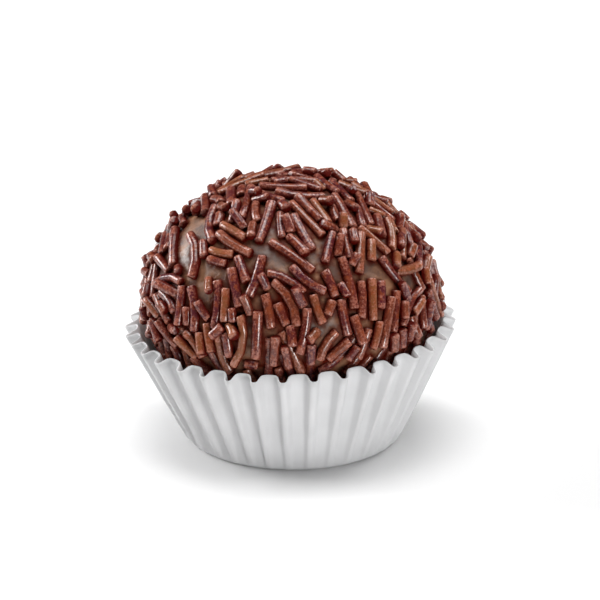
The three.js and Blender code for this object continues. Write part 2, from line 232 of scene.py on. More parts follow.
def wall_radius(folds, share):
    """Radius of the wall at a share of the way up, for folds from valley (-1) to ridge (1)."""
    plain = BASE_RADIUS + (RIM_RADIUS - BASE_RADIUS) * share
    return plain + PLEAT_DEPTH / 2 * folds * share**PLEAT_RUN


def wall_rise(folds):
    """How high the rim is there: the further out the paper leans, the lower."""
    return np.sqrt(WALL_LENGTH**2 - (wall_radius(folds, 1) - BASE_RADIUS) ** 2)


ridge_rise, valley_rise = (round(float(wall_rise(fold)), 2) for fold in (1, -1))
print("ridges rise", ridge_rise, "mm and valleys", valley_rise, "mm")

# %% [markdown]
# ## Laying the sprinkles
# Sprinkles are short rods of chocolate, about 1.1 mm thick. Rolling the ball presses them in, so
# they lie flat, side by side, loosely one way, and a few end up across the others. They could be
# scattered at random, but then they would cut through each other. Here each one, the longest first,
# is shuffled from several places to where it sinks lowest between the ones already there, and it is
# lifted and tilted where it rests on them.

# %% Sizes of the sprinkles, in millimetres
ROD_RADIUS = 0.55
ROD_SPREAD = 0.1  # share by which a rod may be thicker or thinner
ROD_LENGTHS = (1.3, 6)
ROD_LENGTH_SKEW = 1.4  # over 1, so that short rods are more common than long ones
ROD_BEND = 0.21  # how strongly the most bent rod curves, as 1 over a radius
ROD_END = 0.7  # how far before a rod's end its middle line stops, in rod radii
ROD_SEAT = 0.28  # how far the middle line lies outside the fudge
ROD_SEAT_SPREAD = 0.12


def rod_length(chance):
    """A rod's length, for a chance from 0 to 1."""
    shortest, longest = ROD_LENGTHS
    return shortest + (longest - shortest) * chance**ROD_LENGTH_SKEW


print("half of the sprinkles are shorter than", round(rod_length(0.5), 2), "mm")

# %% [markdown]
# The rule works on many trial places at once, because numpy handles a whole table of numbers as
# quickly as Python handles one. A place is a direction from the ball's centre, towards the rod's
# middle. In the functions below the first axis of each array counts the trials, and the second one
# the five stations along a rod's middle line.

# %% The way that rods lie
ROLLING_WAY = (0.6, -0.9, -1.0)  # in general to the right, to the front and down
ROLLING_TURN = 0.8  # how much more to the right at the ball's left side, and less at its right
WAVER_ACROSS, WAVER_BACK = 0.35, 0.6  # how far the way wavers across, and from front to back
WAVES_ACROSS, WAVES_BACK = ((0, 3, 0), 1), ((2.5, 0, 2), 0)  # how fast each runs, and its shift


def dot(a, b):
    return (a * b).sum(-1)


def rolling_ways(towards):
    """The way that rods lie at these places, as rolling left them."""
    turned = ROLLING_WAY[0] - ROLLING_TURN * towards[:, 0]
    across = turned + WAVER_ACROSS * wave(towards, *WAVES_ACROSS)
    back = ROLLING_WAY[1] + WAVER_BACK * wave(towards, *WAVES_BACK)
    ways = np.stack((across, back, np.full(len(towards), ROLLING_WAY[2])), -1)
    return unit(ways - towards * dot(ways, towards)[:, None])


print("in front the rods lie along", rolling_ways(front)[0].round(2))

# %% The room that they have in the case
CASE_GAP = 0.15  # kept between a rod and the paper, in mm
OVER_THE_RIM = 1.06  # share of the wall's height from which the paper is no longer in the way


def room_in_case(points):
    """How far a rod may stand out from these points of the fudge before it comes near the paper."""
    x, y, z = points[..., 0], points[..., 1], points[..., 2]
    valley = -1 - PLEAT_UNEVEN_DEPTH
    share = z / (wall_rise(valley) + RIM_TILT * x / np.hypot(x, y))
    wall = wall_radius(valley, share) - PAPER / math.cos(LEAN_OF_WALL)
    room = wall - np.hypot(x - RIM_SHIFT * share, y) - CASE_GAP
    return np.where(share > OVER_THE_RIM, np.inf, room)


rim_room = room_in_case(BALL_CENTRE + front * fudge_radius(front)[:, None])
print("at the front of the rim there are", round(float(rim_room[0]), 2), "mm for a rod")

# %% [markdown]
# A rod can't go through the ones that lie there already, which are called its bed. Where it passes
# close to one of them, it has to lie higher, and so each station gets a height that it needs. The
# rod comes to rest on the lowest line over these heights, tilted if that brings it down. Rods could
# also be pushed apart step by step, but this rule gives their heights at once.

# %% How high a rod has to lie over others
STATIONS = np.array((-1, -0.5, 0, 0.5, 1))  # from one end of a rod's middle line to the other
HALVES = ((0, 2), (2, 4))  # a bent rod counts as two straight stretches between these stations
CONTACT = 0.97  # rods are a little soft, so they lie this share of their two radii apart
NEARBY = ROD_LENGTHS[1] + 1  # rods whose middles are further apart than this can't touch
SHORTEST_STRETCH = 1e-9  # keeps a stretch that points straight up from a division by nothing


def heights_over(points, towards, radius, bed):
    """The height over each point at which a rod of this radius clears the rods in the bed."""
    heights = np.full(points.shape[:2], -np.inf)
    apart = np.linalg.norm(towards[:, None] - bed["towards"], axis=-1) * BALL_RADIUS
    trial, other = np.nonzero(apart < NEARBY)
    up = towards[trial]
    reach = (CONTACT * (radius + bed["radius"][other]))[:, None] ** 2
    for first, last in HALVES:
        stretch = bed["axis"][other, last] - bed["axis"][other, first]
        gain = dot(stretch, up)
        stretch = stretch - gain[:, None] * up
        start = bed["axis"][other, first][:, None] - points[trial]
        start_height = dot(start, up[:, None])
        start = start - start_height[..., None] * up[:, None]
        length = np.maximum(dot(stretch, stretch), SHORTEST_STRETCH)[:, None]
        share = np.clip(-dot(start, stretch[:, None]) / length, 0, 1)
        nearest = start + stretch[:, None] * share[..., None]
        aside = dot(nearest, nearest)
        over = start_height + gain[:, None] * share + np.sqrt(np.maximum(reach - aside, 0))
        np.maximum.at(heights, trial, np.where(aside < reach, over, -np.inf))
    return heights


crown_point = BALL_CENTRE + crown * fudge_radius(crown)[:, None]
trial_axis = crown_point + STATIONS[:, None] * np.array((1, 0, 0))
trial_bed = {"towards": crown, "radius": np.array([ROD_RADIUS]), "axis": trial_axis[None]}
on_top = heights_over(trial_axis[None], crown, ROD_RADIUS, trial_bed).max()
print("one rod on top of another lies", round(float(on_top), 2), "mm higher")

# %% How it tilts to come down
FIRST, SECOND = np.triu_indices(len(STATIONS), 1)  # all pairs of stations
TILT_COST = 0.25  # what an end's rise counts against the middle's, so that rods stay flat
ROUNDING = 1e-6  # mm


def lowest_lines(needs):
    """For each trial the lowest line over the needed heights: its middle and its gain to an end."""
    slopes = (needs[:, SECOND] - needs[:, FIRST]) / (STATIONS[SECOND] - STATIONS[FIRST])
    middles = needs[:, FIRST] - slopes * STATIONS[FIRST]
    lines = middles[..., None] + slopes[..., None] * STATIONS
    clear = (lines >= needs[:, None] - ROUNDING).all(-1)
    costs = np.where(clear, middles + TILT_COST * np.abs(slopes), np.inf)
    best_middles, best_slopes = needs.max(-1), np.zeros(len(needs))
    for pair in range(len(FIRST)):
        lower = costs[:, pair] < best_middles + TILT_COST * np.abs(best_slopes) - ROUNDING
        best_middles = np.where(lower, middles[:, pair], best_middles)
        best_slopes = np.where(lower, slopes[:, pair], best_slopes)
    return best_middles, best_slopes


one_end_up = np.array([(0, 0, 0, 0, 1.0)])
print("an end that is 1 mm up lifts the middle by", lowest_lines(one_end_up)[0][0], "mm")

# %% Seating a rod
STEEPEST = 0.2  # most that an end may gain, as a share of the rod's length
MOST_LIFT = 0.95  # most that the rods underneath may lift it, in mm
DEEPEST = 0.75  # deepest that the case may press it into the fudge, in rod radii
LOWEST_ROD = 11  # lowest height of a middle line over the table, in mm


def seat_rods(rod, towards, swings, bed):
    """Seats a rod at each trial place: its axis, and its lift, infinite where it doesn't fit."""
    ways = rolling_ways(towards)
    ways = ways * np.cos(swings)[:, None] + np.cross(towards, ways) * np.sin(swings)[:, None]
    sides = np.cross(towards, ways)
    along = STATIONS * (rod["length"] / 2 - ROD_END * rod["radius"])
    sideways = rod["bend"] / 2 * (along * along - rod["length"] ** 2 / 12)  # on average nothing
    middles = BALL_CENTRE + towards * fudge_radius(towards)[:, None]
    points = middles[:, None] + along[:, None] * ways[:, None] + sideways[:, None] * sides[:, None]
    distances = np.linalg.norm(points - BALL_CENTRE, axis=-1)
    outwards = (points - BALL_CENTRE) / distances[..., None]
    radii = fudge_radius(outwards.reshape(-1, 3)).reshape(distances.shape)
    overs = distances - radii  # how far the fudge curves away under each station
    rooms = room_in_case(BALL_CENTRE + outwards * radii[..., None]) - rod["radius"] - overs
    seats = np.minimum(rod["seat"], rooms.min(-1))
    needs = seats[:, None] - overs / 2  # an end may tip down half of the way to the fudge
    needs = np.maximum(needs, heights_over(points, towards, rod["radius"], bed))
    middle_heights, slopes = lowest_lines(needs)
    heights = middle_heights[:, None] + slopes[:, None] * STATIONS
    lifts = middle_heights - seats
    fits = (points[..., 2].min(-1) >= LOWEST_ROD) & (seats >= -DEEPEST * rod["radius"])
    fits &= (lifts <= MOST_LIFT) & (np.abs(slopes) <= STEEPEST * rod["length"])
    fits &= (heights <= rooms + ROUNDING).all(-1)
    return points + heights[..., None] * towards[:, None], np.where(fits, lifts, np.inf)


trial_rod = {"length": rod_length(0.5), "radius": ROD_RADIUS, "bend": 0, "seat": ROD_SEAT}
trial_lift = seat_rods(trial_rod, crown, np.zeros(1), trial_bed)[1][0]
print("laid over the other one, a rod is lifted by", round(float(trial_lift), 2), "mm")

# %% [markdown]
# The sweet has been handled since it was rolled, so the coating is thin on a few spots at the
# front. Rods are laid round each spot, and then the ones nearest to its middle come off again, so
# their neighbours still lie as they did with them.

# %% Bare spots
BARE_SPOTS = (  # the way there, the width left free, and how near its middle rods came off again
    ((-0.66, -0.33, 0.67), 3.1, 2.5),
    ((-0.64, -0.59, 0.5), 3.1, 2.5),
    ((-0.17, -0.7, 0.7), 3.2, 2.3),
    ((0.24, -0.73, 0.63), 2.8, 2.1),
    ((0.22, -0.93, 0.28), 2.8, 1.8),
    ((0.56, -0.6, 0.57), 2.4, 1.7),
)
KEEP_OFF = 6  # a rod's middle stays a sixth of its length outside a bare spot


def gap_to(spot, towards):
    """How far places on the ball are from a spot, in millimetres."""
    return np.linalg.norm(spot - towards, axis=-1) * BALL_RADIUS


def on_bare_spot(rod, towards):
    """Which trial places would lay a rod over a bare spot."""
    keep_off = rod["length"] / KEEP_OFF
    return np.any([gap_to(at, towards) < width / 2 + keep_off for at, width, _ in BARE_SPOTS], 0)


def came_off(rod):
    """Whether handling the sweet took this rod off again."""
    return any(gap_to(spot, rod["towards"]) < near for spot, _, near in BARE_SPOTS)


nearest_spot = min(gap_to(spot, front)[0] for spot, _, _ in BARE_SPOTS)
print("the nearest bare spot is", round(float(nearest_spot), 1), "mm from the middle of the front")

# %% [markdown]
# Rolling pushes real sprinkles about until they find room. Here a rod is tried in many random
# places first, and then in places that are nudged less and less from the best one. It stays as soon
# as it lies low enough.

# %% Places to try
DRAWS_A_TRY = 4  # random numbers that one try uses
SWING_SPREAD = 1.15  # most that a rod lies off the rolling way, in radians
SWING_A_NUDGE = 0.5  # radians of swing that go with a nudge of a millimetre
LOWEST_UP = (LOWEST_ROD - BALL_CENTRE[2]) / BALL_RADIUS  # as the z of a direction


def random_places(tries, draw):
    """Random places on the ball's uncovered part, and swings from the rolling way."""
    draws = np.array([[draw() for _ in range(DRAWS_A_TRY)] for _ in range(tries)])
    up = LOWEST_UP + (1 - LOWEST_UP) * draws[:, 0]
    turn = 2 * math.pi * draws[:, 1]
    flat = np.sqrt(1 - up * up)
    towards = np.stack((flat * np.cos(turn), flat * np.sin(turn), up), -1)
    return towards, SWING_SPREAD * (draws[:, 2] + draws[:, 3] - 1)


def nearby_places(best, nudge, tries, draw):
    """Places and swings nudged a little from the best ones so far."""
    draws = np.array([[draw() - 0.5 for _ in range(DRAWS_A_TRY)] for _ in range(tries)])
    towards = unit(best["towards"] + draws[:, :3] * (nudge / BALL_RADIUS))
    return towards, best["swing"] + nudge * SWING_A_NUDGE * draws[:, 3]


print("sprinkles can lie on", round(50 * (1 - LOWEST_UP)), "% of the ball")

# %% Shuffling one rod into place
FIRST_TRIES = 60  # random places for each rod
SHUFFLES = ((30, 1.6), (24, 0.8), (24, 0.4))  # tries, and how far they are nudged, in mm
LOW_ENOUGH = 0.03  # a rod that is lifted less than this stays where it is, in mm


def better_seat(best, rod, places, bed):
    """The first place where the rod lies low enough, else the lowest, if it beats the best."""
    towards, swings = places
    axes, lifts = seat_rods(rod, towards, swings, bed)
    lifts[on_bare_spot(rod, towards)] = np.inf
    low = np.flatnonzero(lifts < LOW_ENOUGH)
    k = low[0] if len(low) else lifts.argmin()
    if lifts[k] < (best["lift"] if best else np.inf):
        seat = {"towards": towards[k], "swing": swings[k], "axis": axes[k], "lift": lifts[k]}
        best = {**rod, **seat}
    return best


def settle_rod(rod, bed, draw):
    """Tries a rod in many places, then shuffles it about the best one, to where it sinks lowest."""
    best = better_seat(None, rod, random_places(FIRST_TRIES, draw), bed)
    for tries, nudge in SHUFFLES:
        if best is None or best["lift"] < LOW_ENOUGH:
            break
        best = better_seat(best, rod, nearby_places(best, nudge, tries, draw), bed)
    return best


settled = settle_rod(trial_rod, trial_bed, random_source(SEED))
print("with room around it, a rod is lifted by", round(float(settled["lift"]), 2), "mm")

# %% Laying all the rods
RODS = 430  # how many are tried, the longest first


def lay_rods():
    """Lays the sprinkles on the ball, and takes the ones off again that handling loosened."""
    draw = random_source(SEED)
    lengths = [rod_length(draw()) for _ in range(RODS)]
    laid = []
    no_axes = np.zeros((0, len(STATIONS), 3))
    bed = {"towards": np.zeros((0, 3)), "radius": np.zeros(0), "axis": no_axes}
    for length in sorted(lengths, reverse=True):
        radius = ROD_RADIUS * (1 + ROD_SPREAD * (2 * draw() - 1))
        bow = 2 * draw() - 1
        bend = ROD_BEND * bow * abs(bow)
        seat = ROD_SEAT + ROD_SEAT_SPREAD * (2 * draw() - 1)
        rod = {"length": length, "radius": radius, "bend": bend, "seat": seat}
        rod = settle_rod(rod, bed, draw)
        if rod:
            laid.append(rod)
            bed = {name: np.concatenate((rows, [rod[name]])) for name, rows in bed.items()}
    return [rod for rod in laid if not came_off(rod)]


rods = lay_rods()
mean_length = sum(rod["length"] for rod in rods) / len(rods)
print(len(rods), "sprinkles laid, of mean length", round(mean_length, 2), "mm")

# %% [markdown]
# ## Colours and finishes
# Each finish is a material of shader nodes. Wiring nodes by hand is long-winded, so a small class
# wraps a node's output and lets Python's own + and * add the Math nodes. All other nodes come from
# one method that takes the node's type, its settings and what goes into its sockets.


# %% Colours as light
def linear(red, green, blue):
    """A colour given as on a screen, 0 to 255, as the linear light that shaders reckon with.

    The numbers in it are those of the curve that screens use.
    """
    light = [v / 255 for v in (red, green, blue)]
    return tuple(v / 12.92 if v < 0.04045 else ((v + 0.055) / 1.055) ** 2.4 for v in light) + (1.0,)


print("mid chocolate as light:", [round(v, 3) for v in linear(95, 49, 42)[:3]])


# %% Writing shader nodes as Python
class Wire:
    """A node's output that can be reckoned with."""

    def __init__(self, finish, output):
        self.finish, self.output = finish, output

    def maths(self, operation, *values):
        return self.finish.node("ShaderNodeMath", {"operation": operation}, dict(enumerate(values)))

    def __add__(self, other):
        return self.maths("ADD", self, other)

    def __mul__(self, other):
        return self.maths("MULTIPLY", self, other)

    __radd__, __rmul__ = __add__, __mul__


class Finish:
    """A material being made: its nodes, and the Principled shader that they feed."""

    def __init__(self, name):
        self.material = bpy.data.materials.new(name)
        self.material.use_nodes = True
        self.nodes, self.links = self.material.node_tree.nodes, self.material.node_tree.links
        self.shader = self.nodes["Principled BSDF"]

    def node(self, kind, settings=None, sockets=None, output=0):
        """Adds a node with these settings and socket values, and returns one of its outputs."""
        made = self.nodes.new(kind)
        for name, value in (settings or {}).items():
            setattr(made, name, value)
        self.fill(made, sockets or {})
        return Wire(self, made.outputs[output])

    def fill(self, made, sockets):
        for name, value in sockets.items():
            if isinstance(value, Wire):
                self.links.new(value.output, made.inputs[name])
            else:
                made.inputs[name].default_value = value

    def place(self):
        """Where a point is in its object, which is also where it is on the sweet."""
        return self.node("ShaderNodeTexCoord", None, None, output="Object")

    def marks(self, name):
        """A number that the mesh's points carry under this name."""
        return self.node("ShaderNodeAttribute", {"attribute_name": name}, None, output="Fac")

    def noise(self, place, size, detail, roughness=0.5):
        """Even cloudy noise from 0 to 1, with spots of about this size in millimetres."""
        scale = 1 / (size * MM)
        sockets = {"Vector": place, "Scale": scale, "Detail": detail, "Roughness": roughness}
        return self.node("ShaderNodeTexNoise", None, sockets)

    def ramp(self, value, start, end):
        """A share that goes from 0 to 1 as the value goes from start to end, up or down."""
        sockets = {"Value": value, "From Min": start, "From Max": end}
        return self.node("ShaderNodeMapRange", None, sockets)

    def mix(self, share, first, second):
        """A colour between two, by a share from 0 to 1."""
        sockets = {0: share, 6: first, 7: second}  # 6, 7 and output 2 are the ones for colours
        return self.node("ShaderNodeMix", {"data_type": "RGBA"}, sockets, output=2)

    def bump(self, height, depth):
        """A normal for relief of this height, 0 to 1, times a depth in millimetres."""
        sockets = {"Height": height, "Distance": depth * MM, "Strength": 1.0}
        return self.node("ShaderNodeBump", None, sockets)


print("a finish is written with:", ", ".join(name for name in vars(Finish) if "_" not in name))

# %% [markdown]
# ## The fudge
# Under the sprinkles the fudge is smooth and soft. It could be sculpted, but its form is known, so
# a fine ball is made and each point moved out along its own direction to the distance that the
# form gives. The sprinkles are pressed in, so the fudge stands up a little beside them. Each point
# keeps a mark of how near it is to a sprinkle, from 0 to 1, with which the finish paints shade
# beside the sprinkles.

# %% Model the fudge
FUDGE_FINENESS = 6  # each step cuts every face of the first 20 into four
POINTS_A_ROD = 9  # close enough together to stand for a rod
WELL_HEIGHT = 0.12  # how much the fudge rises against a rod, in mm
WELL_WIDTH = 0.45  # how quickly that runs out, in mm
WELL_REACH = 1.5  # distance from a rod's axis where hardly anything of it is left, in mm


def as_mesh(form, name):
    """The mesh of a finished form, which is then let go."""
    mesh = bpy.data.meshes.new(name)
    form.to_mesh(mesh)
    form.free()
    return mesh


def rod_points():
    """Points along all the rods' axes."""
    shares = np.linspace(0, 1, POINTS_A_ROD)[:, None]
    return np.concatenate([r["axis"][0] + (r["axis"][-1] - r["axis"][0]) * shares for r in rods])


def fudge_mesh():
    ball = bmesh.new()
    bmesh.ops.create_icosphere(ball, subdivisions=FUDGE_FINENESS, radius=1)
    ways = unit(np.array([vert.co[:] for vert in ball.verts]))
    surface = BALL_CENTRE + ways * fudge_radius(ways)[:, None]
    nearest = np.full(len(ways), np.inf)
    for point in rod_points():
        close = np.flatnonzero(np.abs(surface - point).max(axis=1) < WELL_REACH)
        apart = np.linalg.norm(surface[close] - point, axis=1)
        nearest[close] = np.minimum(nearest[close], apart)
    closeness = np.exp(-((np.maximum(nearest - ROD_RADIUS, 0) / WELL_WIDTH) ** 2))
    surface = surface + ways * (WELL_HEIGHT * closeness)[:, None]
    beside = ball.verts.layers.float.new("beside")
    for vert, point, close in zip(ball.verts, surface, closeness):
        vert.co = point * MM
        vert[beside] = close
    for face in ball.faces:
        face.smooth = True
    return as_mesh(ball, "fudge")


fudge_skin = fudge_mesh()
print("fudge has", len(fudge_skin.vertices), "points")

# %% [markdown]
# Every piece is handed over in the same way. It becomes an object with its finish, rides on the
# packed body, and hides the packed solid whose place it takes.


# %% Hand a piece over
def finished(name, mesh, node, material):
    """A piece of the sweet: its mesh, its finish, the body it rides on and the node it replaces."""
    piece = bpy.data.objects.new(name, mesh)
    scene.collection.objects.link(piece)
    mesh.materials.append(material)
    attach(piece, "root")
    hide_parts(node)
    shader_nodes = len(material.node_tree.nodes)
    print(name, "has", len(mesh.polygons), "faces and", shader_nodes, "shader nodes")
    return piece


# %% [markdown]
# ### The finish of the fudge
# Cooked fudge is a dull, milky brown where it lies bare, cloudy and grained from the pan, with a
# low sheen from the butter it is rolled with. Close round a sprinkle it is given a darker, redder
# colour, which is painted shade for the shadow that the sprinkle casts there, and its sheen is
# turned down. The mark on the mesh mixes the two, so the painted shade follows the sprinkles,
# which noise alone could not do.

# %% Finish the fudge
FUDGE_DULL = linear(98, 73, 63)
FUDGE_MILKY = linear(152, 109, 82)
# painted shade: the dark red that the fudge is given where a sprinkle shades it
FUDGE_PAINTED_SHADE_BY_A_ROD = linear(80, 19, 7)


def fudge_finish():
    finish = Finish("fudge")
    place = finish.place()
    cloud = finish.noise(place, size=2.4, detail=3.0)
    grain = finish.noise(place, size=0.6, detail=3.0, roughness=0.6)
    bare = finish.mix(finish.ramp(cloud, start=0.4, end=0.6), FUDGE_DULL, FUDGE_MILKY)
    beside = finish.marks("beside")
    # painted shade: near a sprinkle the colour goes over to the dark red
    colour = finish.mix(finish.ramp(beside, start=0.3, end=1.0), bare, FUDGE_PAINTED_SHADE_BY_A_ROD)
    sockets = {
        "Base Color": colour,
        "Roughness": 0.2 + 0.15 * grain,
        "Coat Weight": finish.ramp(beside + grain, start=1.2, end=0.5) * 0.95,
        "Coat Roughness": 0.36,
        "Specular IOR Level": 0.05,
        "Normal": finish.bump(grain, depth=0.2),
    }
    finish.fill(finish.shader, sockets)
    return finish.material


finished("fudge", fudge_skin, "fudge_ball", fudge_finish())

# %% [markdown]
# ## The sprinkles
# All sprinkles are cut from the same extruded strand, so one blank rod is made and copied for each,
# then bent, stretched and turned to its place. The blank has few faces, because it is used hundreds
# of times, and its cut ends are rounded only a little, so that they stay crisp. Its rings count
# upwards from 0, and each rod says where its own rings are.

# %% Make one blank rod
ROD_SIDES = 9
RING_SHARES = np.array((-1, -1, -1, -0.35, 0.35, 1, 1, 1))  # along the rod, from end to end
RING_INSETS = np.array((0, 0.09, 0.3, 0, 0, -0.3, -0.09, 0))  # added to that, in rod radii
RING_RADII = np.array((0.76, 0.94, 1, 1, 1, 1, 0.94, 0.76))  # in rod radii


def next_ring(form, edges):
    """Extrudes an open rim where it is. Returns the new rim's edges and its points."""
    made = bmesh.ops.extrude_edge_only(form, edges=edges)["geom"]
    rim = [item for item in made if isinstance(item, bmesh.types.BMEdge) and item.is_boundary]
    return rim, [item for item in made if isinstance(item, bmesh.types.BMVert)]


def blank_rod():
    rod = bmesh.new()
    bmesh.ops.create_circle(rod, cap_ends=True, segments=ROD_SIDES, radius=1)
    bmesh.ops.reverse_faces(rod, faces=rod.faces)
    edges = rod.edges[:]
    for _ in range(len(RING_SHARES) - 1):
        edges, ring = next_ring(rod, edges)
        bmesh.ops.translate(rod, verts=ring, vec=(0, 0, 1))
    bmesh.ops.contextual_create(rod, geom=edges)
    bmesh.ops.recalc_face_normals(rod, faces=rod.faces)
    for face in rod.faces:
        face.smooth = len(face.verts) == 4
    return as_mesh(rod, "blank rod")


blank = blank_rod()
print("blank rod has", len(blank.polygons), "faces")

# %% Where one sprinkle has its rings
ROD_TAPER = 0.07  # share by which a rod thickens to one end


def rod_rings(rod, draw):
    """The middle, three directions (side, up and along) and the radius of each ring of a rod."""
    radius, reach = rod["radius"], rod["length"] / 2
    along = ((RING_SHARES * reach + RING_INSETS * radius) / (reach - ROD_END * radius))[:, None]
    bow, way, middle = np.polyfit(STATIONS, rod["axis"], 2)  # a bent rod's axis is a parabola
    middles = bow * along**2 + way * along + middle
    ways = unit(2 * bow * along + way)
    sides = unit(np.cross(ways, rod["towards"]))
    ups = np.cross(sides, ways)
    taper = ROD_TAPER * (2 * draw() - 1)
    return middles, sides, ups, ways, radius * RING_RADII * (1 + taper * RING_SHARES)


longest_middles = rod_rings(rods[0], random_source(SEED))[0]
longest = np.linalg.norm(longest_middles[-1] - longest_middles[0])
print("the longest sprinkle is", round(float(longest), 2), "mm long")

# %% Join all the sprinkles
ROD_ROUGH = 0.05  # share by which points of a rod's skin stand in or out
END_SLANT = 0.25  # how far a broken end leans, as a slope
box_low, box_high = (np.array(corner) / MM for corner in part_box("fudge_ball"))


def sprinkle_mesh():
    """All the rods as one mesh, with marks for a rod's tone, its cut ends and the height on it."""
    draw = random_source(SEED + 1)
    shape = np.array([vert.co[:] for vert in blank.vertices])
    ring = np.rint(shape[:, 2]).astype(int)
    joined = bmesh.new()
    tone = joined.verts.layers.float.new("tone")
    cut_end = joined.verts.layers.float.new("cut_end")
    height = joined.verts.layers.float.new("height")
    at_ends = np.abs(RING_SHARES)[ring] == 1
    for rod in rods:
        middles, sides, ups, ways, radii = rod_rings(rod, draw)
        rough = radii[ring] * np.array([1 + ROD_ROUGH * (2 * draw() - 1) for _ in ring])
        x, y = shape[:, 0] * rough, shape[:, 1] * rough
        points = middles[ring] + x[:, None] * sides[ring] + y[:, None] * ups[ring]
        for end in (0, len(RING_RADII) - 1):
            lean_x, lean_y = draw() - 0.5, draw() - 0.5
            slant = END_SLANT * (lean_x * x + lean_y * y)
            points += (slant * (ring == end))[:, None] * ways[ring]
        too_far_up = np.minimum(box_high - points.max(axis=0), 0)
        too_far_down = np.maximum(box_low - points.min(axis=0), 0)
        points += too_far_up + too_far_down  # moves a rod back into the packed ball's box
        count = len(joined.verts)
        joined.from_mesh(blank)
        joined.verts.ensure_lookup_table()
        rod_tone = draw()
        for vert, point, at_end, up in zip(joined.verts[count:], points, at_ends, shape[:, 1]):
            vert.co = point * MM
            vert[tone] = rod_tone
            vert[cut_end] = at_end
            vert[height] = up
    return as_mesh(joined, "sprinkles")


sprinkle_coat = sprinkle_mesh()
print("all sprinkles together have", len(sprinkle_coat.vertices), "points")

# %% [markdown]
# ### The finish of the sprinkles
# Chocolate sprinkles differ: most are a purplish brown, and a few a pale one. Each rod carries a
# tone for that. On every rod there are warmer blotches and light specks, more of them at its cut
# ends; the specks are partly the chocolate's bloom and partly painted glints from its pits. A gloss
# runs along the top and is broken by the specks. Down the flanks, towards the fudge, the colour
# goes over to a deep red that is painted shade. A flat brown could not be told from plastic.

# %% Finish the sprinkles
SPRINKLE_DARK = linear(88, 28, 36)
SPRINKLE_BROWN = linear(103, 38, 30)
SPRINKLE_PALE = linear(146, 86, 50)
SPRINKLE_WARM = linear(150, 70, 37)
# light specks: partly the chocolate's bloom, partly painted glints of light from its pits
SPRINKLE_BLOOM_AND_GLINT = linear(206, 132, 110)
# painted shade: the deep red that a rod's flanks go over to, towards the fudge
SPRINKLE_PAINTED_SHADE = linear(84, 11, 4)


def sprinkle_finish():
    finish = Finish("sprinkles")
    place = finish.place()
    tone = finish.marks("tone")
    height = finish.marks("height")
    cut_end = finish.marks("cut_end")
    blotch = finish.noise(place, size=0.7, detail=3.0, roughness=0.6)
    speck = finish.noise(place, size=0.28, detail=3.0, roughness=0.7)
    dark = finish.mix(finish.ramp(tone, start=0.1, end=0.45), SPRINKLE_DARK, SPRINKLE_BROWN)
    plain = finish.mix(finish.ramp(tone, start=0.64, end=1.0), dark, SPRINKLE_PALE)
    blotches = finish.ramp(blotch, start=0.48, end=0.6) * 0.65
    blotched = finish.mix(blotches, plain, SPRINKLE_WARM)
    # more light specks at a rod's cut ends
    specks = finish.ramp(speck + 0.15 * cut_end, start=0.53, end=0.67) * 0.55
    specked = finish.mix(specks, blotched, SPRINKLE_BLOOM_AND_GLINT)
    # painted shade: lower on a rod, towards the fudge, its colour goes over to the deep red
    painted_shade_on_flanks = finish.ramp(height + 0.5 * speck, start=1.05, end=0.35)
    sockets = {
        "Base Color": finish.mix(painted_shade_on_flanks, specked, SPRINKLE_PAINTED_SHADE),
        "Roughness": 0.3 + 0.2 * speck,
        "Coat Weight": finish.ramp(height + 4 * speck, start=1.8, end=3.1),
        "Coat Roughness": 0.19,
        "Coat IOR": 1.6,
        "Specular IOR Level": 0.05,
        "Normal": finish.bump(speck, depth=0.27),
    }
    finish.fill(finish.shader, sockets)
    return finish.material


finished("sprinkles", sprinkle_coat, "fudge_ball", sprinkle_finish())

# %% [markdown]
# ## The paper case
# The case starts as a flat disc of paper. Its edge is extruded ring by ring, out to the corner and
# up the wall, and each ring is drawn into pleats by the form above. The pleats could be folded one
# by one, but a ring carries all of them at once. A Solidify modifier then gives the paper its
# thickness inwards, so that the outside keeps the packed case's form.

# %% Steps round the case
STEPS_A_PLEAT = 14


def case_steps():
    """For each step round the case, its angle and how far it stands from valley to ridge."""
    ridges = pleat_ridges()
    steps = []
    for (turn, depth), (next_turn, next_depth) in zip(ridges, ridges[1:] + ridges[:1]):
        next_turn += 2 * math.pi * (next_turn < turn)
        for i in range(STEPS_A_PLEAT):
            share = i / STEPS_A_PLEAT
            fold = pleat_form(share) * (depth + (next_depth - depth) * share)
            steps.append((turn + (next_turn - turn) * share, fold))
    return np.array(steps).T


turns, folds = case_steps()
print("the case has", len(turns), "steps round, and folds up to", round(float(folds.max()), 2))

# %% Rings of the case
WALL_ROWS = 12
CORNER_STEPS = 4
CORNER = 0.55  # how far inside the base's edge the fold up to the wall begins, in mm
FOOT = 0.057  # share of the wall that this fold takes


def wall_ring(share):
    """The points of one ring of the wall, at a share 0 to 1 of the way from the base to the rim."""
    radii = wall_radius(folds, share)
    rises = wall_rise(folds) + RIM_TILT * np.sin(turns)
    across = radii * np.sin(turns) + RIM_SHIFT * share
    return np.stack((across, -radii * np.cos(turns), rises * share), -1)


def corner_ring(share):
    """One ring of the rounded fold between base and wall, from the flat (0) to the wall (1)."""
    base = np.stack((np.sin(turns), -np.cos(turns), 0 * turns), -1)
    flat, edge = base * (BASE_RADIUS - CORNER), base * BASE_RADIUS
    return flat * (1 - share) ** 2 + edge * 2 * share * (1 - share) + wall_ring(FOOT) * share**2


case_rings = [corner_ring(share) for share in np.linspace(0, 1, CORNER_STEPS + 1)]
case_rings += [wall_ring(share) for share in np.linspace(FOOT, 1, WALL_ROWS + 1)[1:]]
rim_top = float(case_rings[-1][:, 2].max())
print("the case has", len(case_rings), "rings, and its rim reaches", round(rim_top, 2), "mm")


